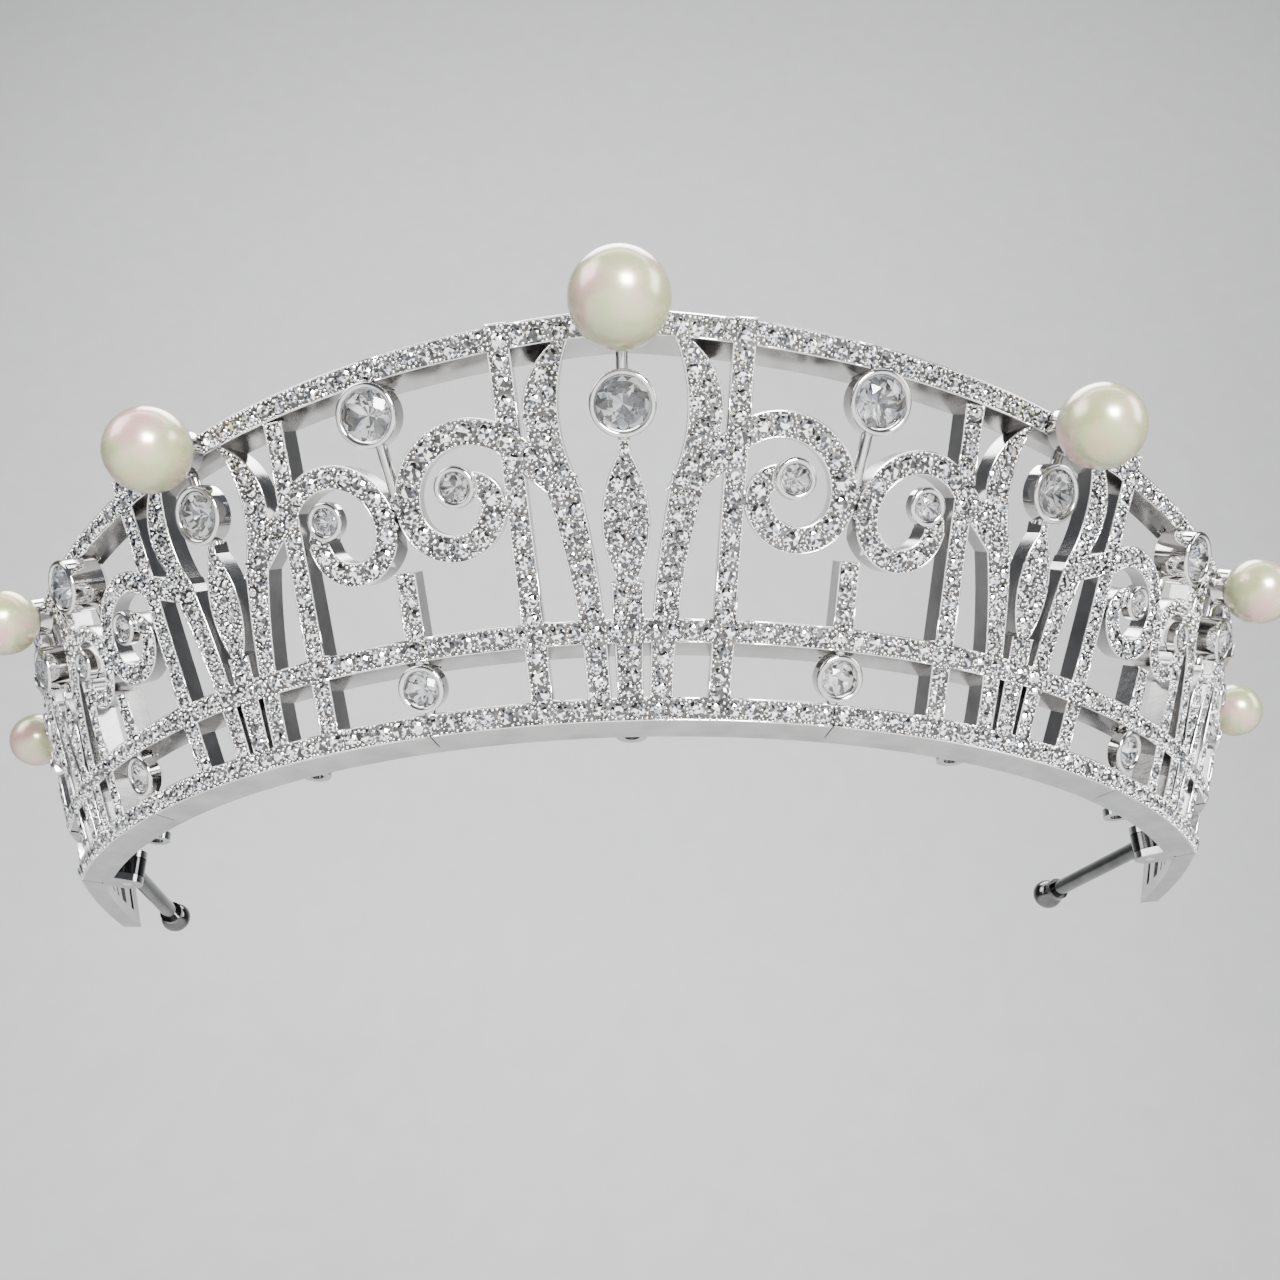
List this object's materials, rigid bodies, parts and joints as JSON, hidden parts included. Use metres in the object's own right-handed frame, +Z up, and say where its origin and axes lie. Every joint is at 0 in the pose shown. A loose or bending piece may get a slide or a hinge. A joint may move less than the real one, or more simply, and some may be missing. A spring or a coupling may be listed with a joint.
{
  "type": "tiara",
  "caption": "Openwork crown tiara of scroll and blade panels on a polished band, with round stones, pearls on the top rail and a hinged rear arm at each end.",
  "frame": {"origin": "on the base plane, under the middle of the bounding box", "axes": "+Z up from the base plane; -Y towards the front of the tiara; +X to the viewer's right, seen from the front"},
  "size_m": [0.1714, 0.102, 0.0324],
  "materials": {
    "silver_frame": "rhodium-plated silver, pave-set front",
    "bright_silver": "rhodium-plated silver, mirror polished",
    "clear_stone": "clear faceted stone",
    "pearl": "ivory pearl lustre"
  },
  "bodies": {
    "frame": {"base_band": "bright_silver", "sewing_loops": "bright_silver", "panel_centre": "silver_frame", "panel_left_1": "silver_frame", "panel_right_1": "silver_frame", "panel_left_2": "silver_frame", "panel_right_2": "silver_frame", "panel_left_3": "silver_frame", "panel_right_3": "silver_frame", "pearl_centre": "pearl", "pearl_left_1": "pearl", "pearl_right_1": "pearl", "pearl_left_2": "pearl", "pearl_right_2": "pearl", "pearl_left_3": "pearl", "pearl_right_3": "pearl", "pearl_cup_centre": "bright_silver", "pearl_cup_left_1": "bright_silver", "pearl_cup_right_1": "bright_silver", "pearl_cup_left_2": "bright_silver", "pearl_cup_right_2": "bright_silver", "pearl_cup_left_3": "bright_silver", "pearl_cup_right_3": "bright_silver", "drop_setting_centre": "bright_silver", "drop_setting_left_1": "bright_silver", "drop_setting_right_1": "bright_silver", "drop_setting_left_2": "bright_silver", "drop_setting_right_2": "bright_silver", "drop_setting_left_3": "bright_silver", "drop_setting_right_3": "bright_silver", "drop_stone_centre": "clear_stone", "drop_stone_left_1": "clear_stone", "drop_stone_right_1": "clear_stone", "drop_stone_left_2": "clear_stone", "drop_stone_right_2": "clear_stone", "drop_stone_left_3": "clear_stone", "drop_stone_right_3": "clear_stone", "crest_setting_left_1": "bright_silver", "crest_setting_right_1": "bright_silver", "crest_setting_left_2": "bright_silver", "crest_setting_right_2": "bright_silver", "crest_stones": "clear_stone", "scroll_settings": "bright_silver", "scroll_stones": "clear_stone", "foot_settings": "bright_silver", "foot_stones": "clear_stone", "hinge_pin_left": "bright_silver", "hinge_pin_right": "bright_silver"},
    "arm_left": {"back_arm_left": "bright_silver"},
    "arm_right": {"back_arm_right": "bright_silver"}
  },
  "joints": [
    {"name": "arm_left_hinge", "type": "hinge", "parent": "frame", "child": "arm_left", "pos_m": [-0.06403, 0.02636, 0.00205], "axis": [0, 0, -1], "range_deg": [0, 115]},
    {"name": "arm_right_hinge", "type": "hinge", "parent": "frame", "child": "arm_right", "pos_m": [0.06403, 0.02636, 0.00205], "axis": [0, 0, 1], "range_deg": [-20, 95]}
  ]
}
